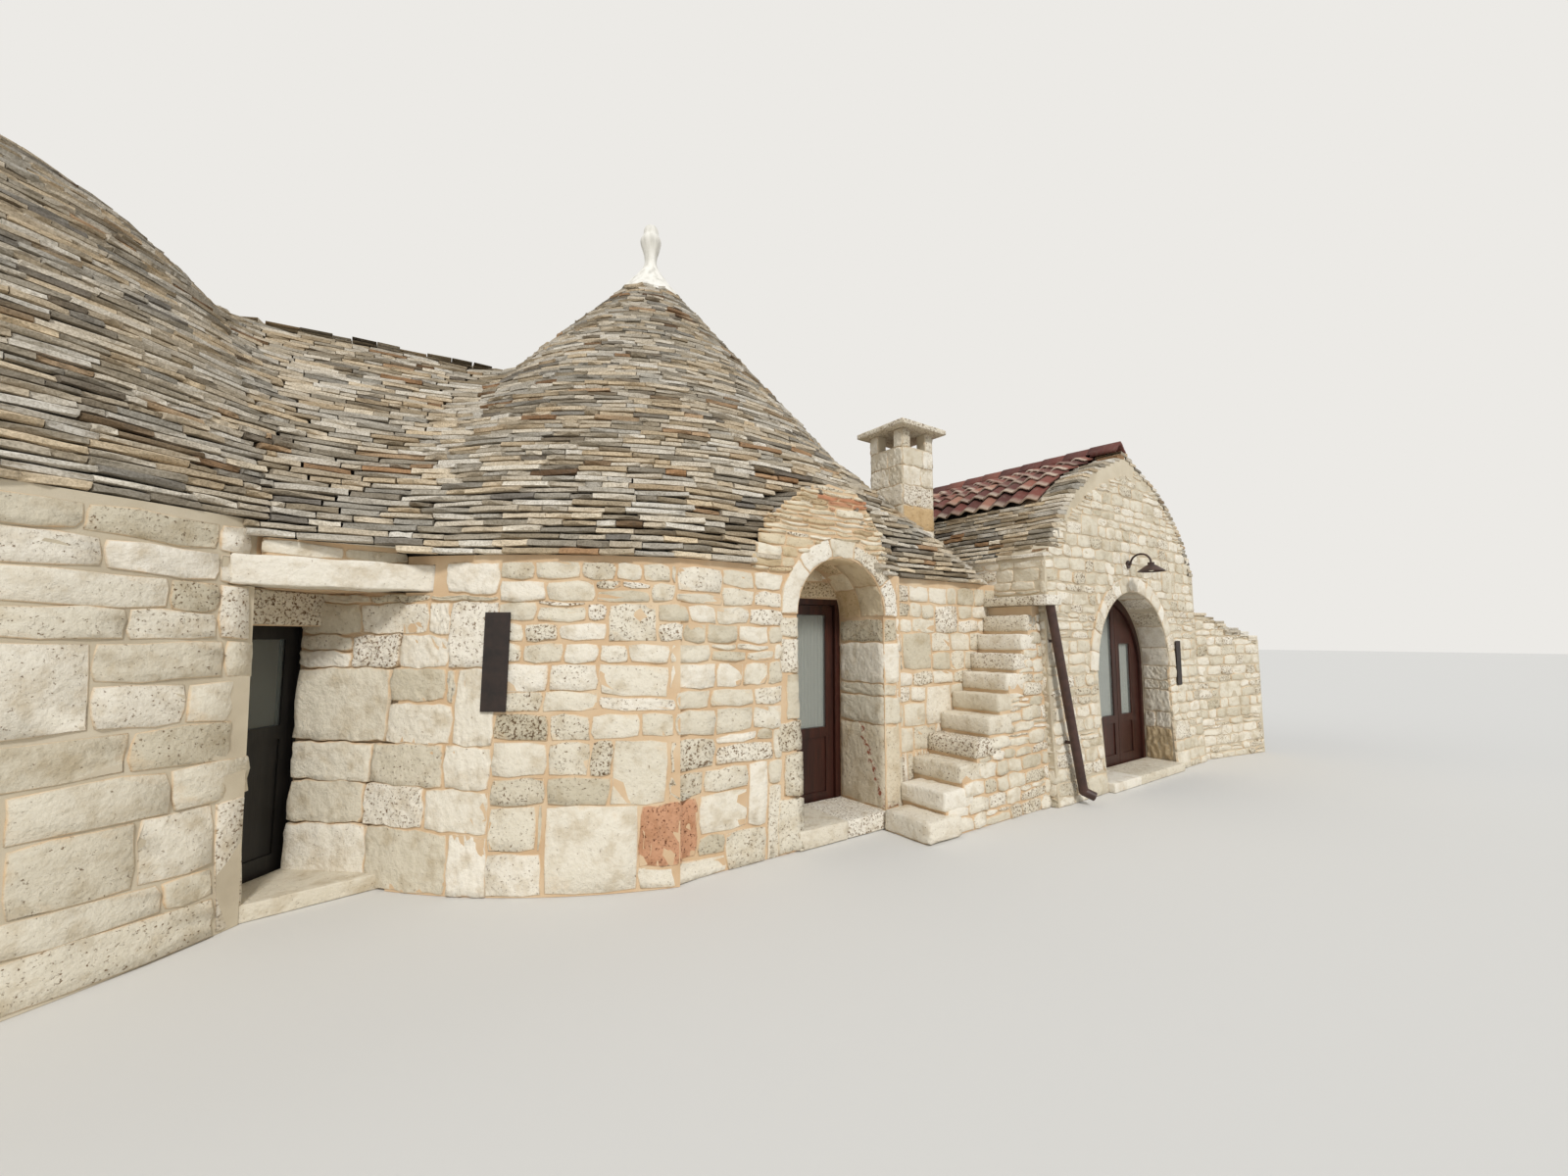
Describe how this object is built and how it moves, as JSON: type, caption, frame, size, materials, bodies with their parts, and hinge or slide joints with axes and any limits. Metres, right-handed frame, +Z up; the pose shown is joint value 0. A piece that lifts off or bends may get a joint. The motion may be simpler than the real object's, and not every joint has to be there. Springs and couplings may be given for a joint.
{
  "type": "trullo house",
  "caption": "Stone house of two round rooms under slate cones joined by a saddle roof, beside a gabled vaulted room, with an outside stair and hinged doors.",
  "frame": {"origin": "on the ground at the axis of the middle round room, on the underside of its floor", "axes": "+X along the front to the right, towards the gabled room; the front faces -Y; +Z up"},
  "size_m": [18.2099, 8.8999, 7.0618],
  "materials": {
    "limestone": "rough",
    "mortar": "rough",
    "slate": "rough",
    "plaster": "matt",
    "door_wood": "satin",
    "black_door": "satin",
    "glazing": "clear",
    "curtain": "matt",
    "roof_tile": "matt",
    "pipe_metal": "satin",
    "bulb_glass": "clear"
  },
  "bodies": {
    "house": {"left_wall_front": "limestone", "left_wall_rear": "limestone", "left_wall_party": "limestone", "left_door_head": "limestone", "left_lintel": "limestone", "saddle_wall_rear": "limestone", "middle_wall_left": "limestone", "middle_wall_right": "limestone", "middle_wall_rear": "limestone", "middle_door_head": "limestone", "middle_arch": "limestone", "middle_hood": "limestone", "thresholds": "limestone", "chimney_stack": "limestone", "chimney_cap": "limestone", "stair_flank": "limestone", "stair_treads": "limestone", "landing_spout": "limestone", "gable_pier_left": "limestone", "gable_pier_right": "limestone", "gable_front": "limestone", "gable_arch": "limestone", "gable_wall_left": "limestone", "gable_wall_right": "limestone", "gable_wall_rear": "limestone", "low_wall": "limestone", "left_dome": "mortar", "left_floor": "mortar", "saddle_core": "mortar", "middle_dome": "mortar", "middle_floor": "mortar", "gable_vault": "mortar", "gable_floor": "mortar", "left_slates": "slate", "saddle_slates": "slate", "middle_slates": "slate", "gable_slates": "slate", "low_wall_coping": "slate", "pinnacles": "plaster", "middle_door_frame": "door_wood", "gable_door_frame": "door_wood", "left_door_frame": "black_door", "gable_tiles": "roof_tile", "drainpipe": "pipe_metal", "wall_lamp": "pipe_metal", "sign_plates": "pipe_metal", "lamp_bulb": "bulb_glass"},
    "left_leaf": {"left_door_leaf": "black_door", "left_door_glass": "glazing"},
    "middle_leaf": {"middle_door_leaf": "door_wood", "middle_door_glass": "glazing", "middle_curtain": "curtain"},
    "gable_leaf_l": {"gable_leaf_left": "door_wood", "gable_glass_left": "glazing", "gable_curtain_left": "curtain"},
    "gable_leaf_r": {"gable_leaf_right": "door_wood", "gable_glass_right": "glazing", "gable_curtain_right": "curtain"}
  },
  "joints": [
    {"name": "left_door_hinge", "type": "hinge", "parent": "house", "child": "left_leaf", "pos_m": [-3.68698, -2.04545, 0.9], "axis": [0, 0, 1], "range_deg": [0, 90]},
    {"name": "middle_door_hinge", "type": "hinge", "parent": "house", "child": "middle_leaf", "pos_m": [-0.0175, -2.592, 0.9], "axis": [0, 0, 1], "range_deg": [0, 90]},
    {"name": "gable_left_hinge", "type": "hinge", "parent": "house", "child": "gable_leaf_l", "pos_m": [3.7125, -3.372, 0.9], "axis": [0, 0, 1], "range_deg": [0, 90]},
    {"name": "gable_right_hinge", "type": "hinge", "parent": "house", "child": "gable_leaf_r", "pos_m": [5.3875, -3.372, 0.9], "axis": [0, 0, -1], "range_deg": [0, 90]}
  ]
}
